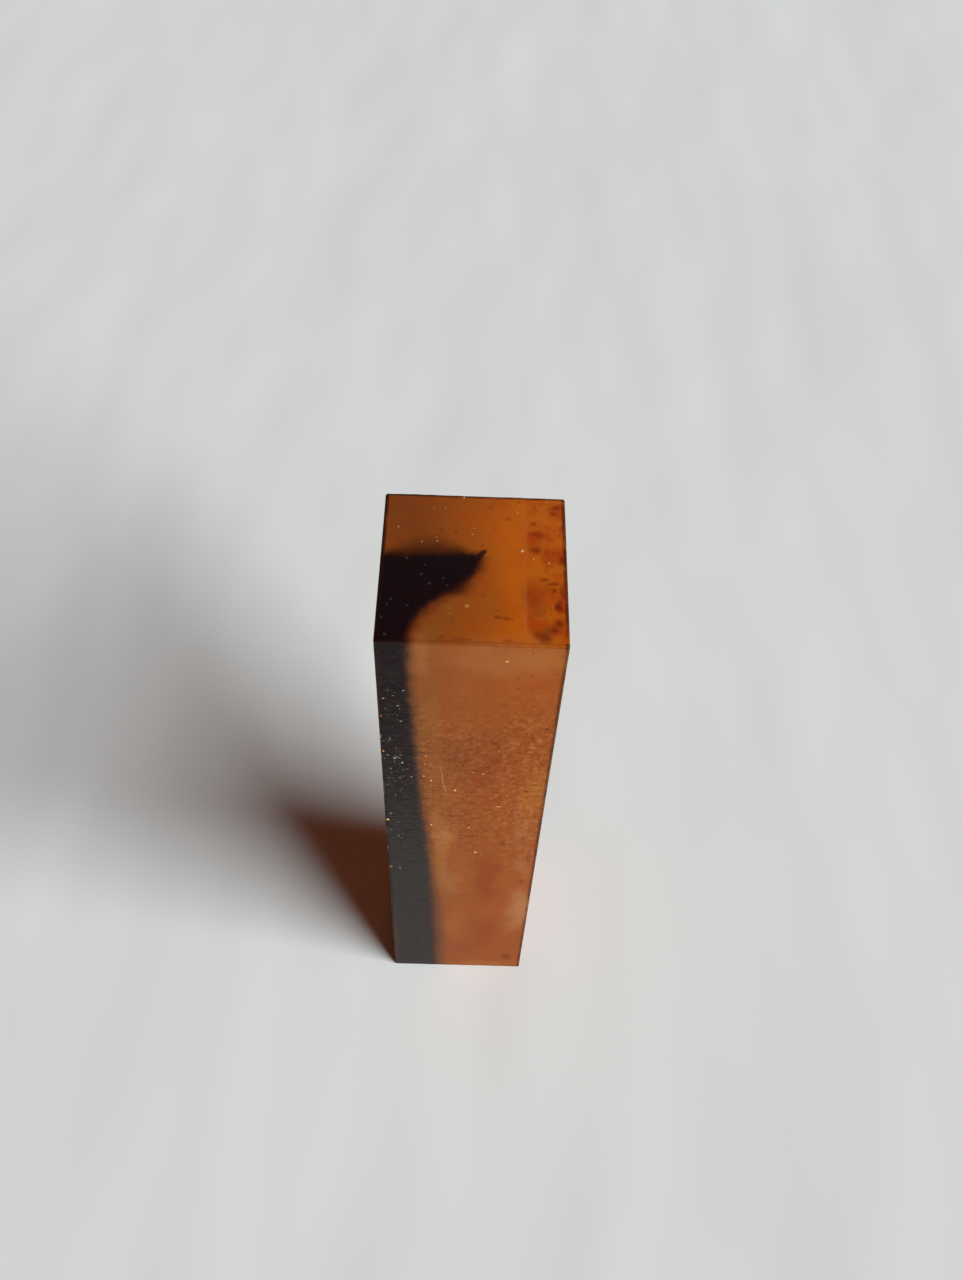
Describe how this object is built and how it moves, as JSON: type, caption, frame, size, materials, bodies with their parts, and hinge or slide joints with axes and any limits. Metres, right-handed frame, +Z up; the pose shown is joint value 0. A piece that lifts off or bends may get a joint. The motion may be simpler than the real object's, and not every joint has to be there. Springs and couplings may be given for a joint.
{
  "type": "rosin stick",
  "caption": "Plain square-section stick of translucent amber rosin with a near-black streak fused down one long corner, standing on its sawn end.",
  "frame": {"origin": "middle of the sawn bottom end, on the surface that the stick stands on", "axes": "+Z up along the stick; -Y is the front face; +X is the right face, away from the dark streak; the streak runs down the corner between the front and the left face"},
  "size_m": [0.016, 0.0164, 0.07],
  "materials": {
    "amber": "translucent amber rosin, sawn faces with a dull sheen, the top end smoother",
    "dark": "near-black rosin, sawn faces with a dull sheen"
  },
  "bodies": {
    "root": {"amber_body": "amber", "dark_streak": "dark"}
  },
  "joints": []
}
